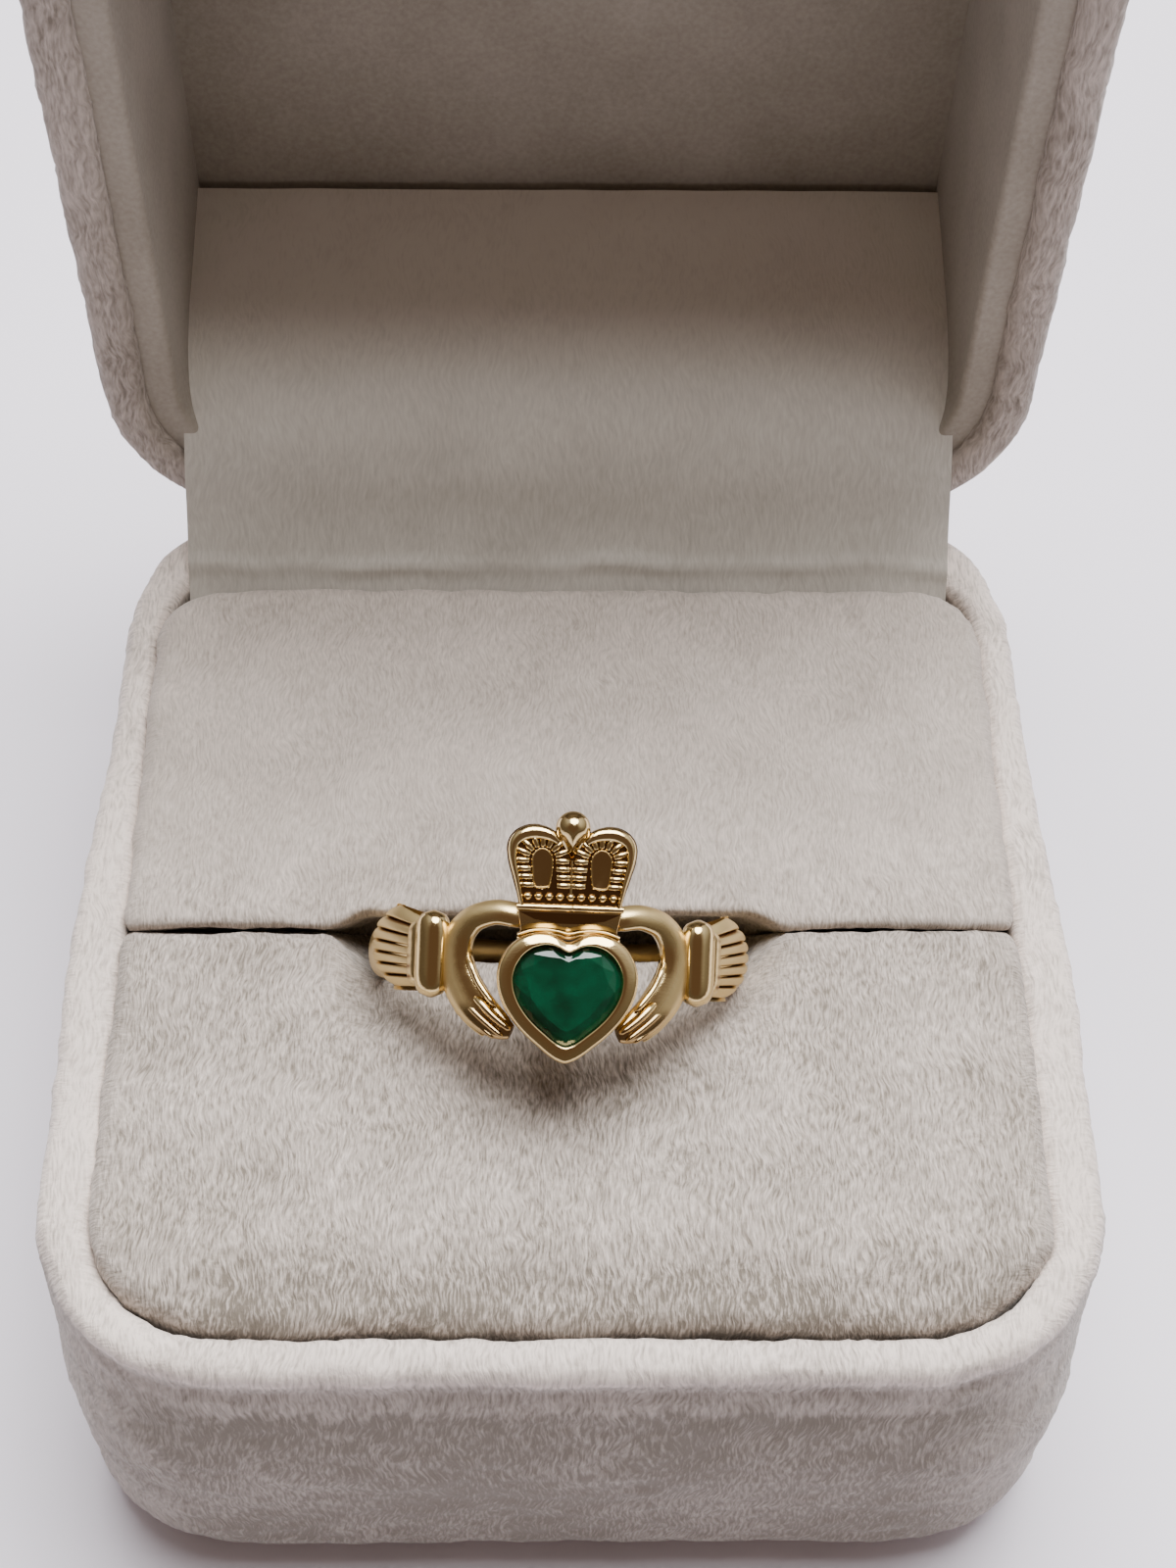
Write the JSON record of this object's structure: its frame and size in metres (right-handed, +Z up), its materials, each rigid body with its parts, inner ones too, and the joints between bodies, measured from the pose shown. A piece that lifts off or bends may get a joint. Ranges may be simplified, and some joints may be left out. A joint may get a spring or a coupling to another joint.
{
  "type": "claddagh ring in an open ring box",
  "caption": "Gold claddagh ring, with hands that hold a heart-shaped green stone under a crown, standing in the cushion slot of an open velvet ring box with a hinged lid.",
  "frame": {"origin": "the middle of the underside of the box's base, on the surface that the box stands on", "axes": "+X right and +Y back as seen from the front of the open box, +Z up"},
  "size_m": [0.0536, 0.0757, 0.0797],
  "materials": {
    "velvet": "off-white velvet with a short pile",
    "cushion_velvet": "off-white velvet with a short pile",
    "felt": "smooth greige felt",
    "steel": "plain steel pin",
    "gold": "polished yellow gold, softer on the hands and cuffs",
    "green_stone": "faceted deep green stone"
  },
  "bodies": {
    "base": {"box_base": "velvet", "cushion_front": "cushion_velvet", "cushion_back": "cushion_velvet", "hinge_pin": "steel", "ring": "gold", "heart_stone": "green_stone"},
    "lid": {"lid_shell": "velvet", "lid_lining": "felt", "hinge_flap": "cushion_velvet"}
  },
  "joints": [
    {"name": "lid_hinge", "type": "hinge", "parent": "base", "child": "lid", "pos_m": [0, 0.0274, 0.0243], "axis": [1, 0, 0], "range_deg": [0, 90], "deforming": ["hinge_flap"]}
  ]
}
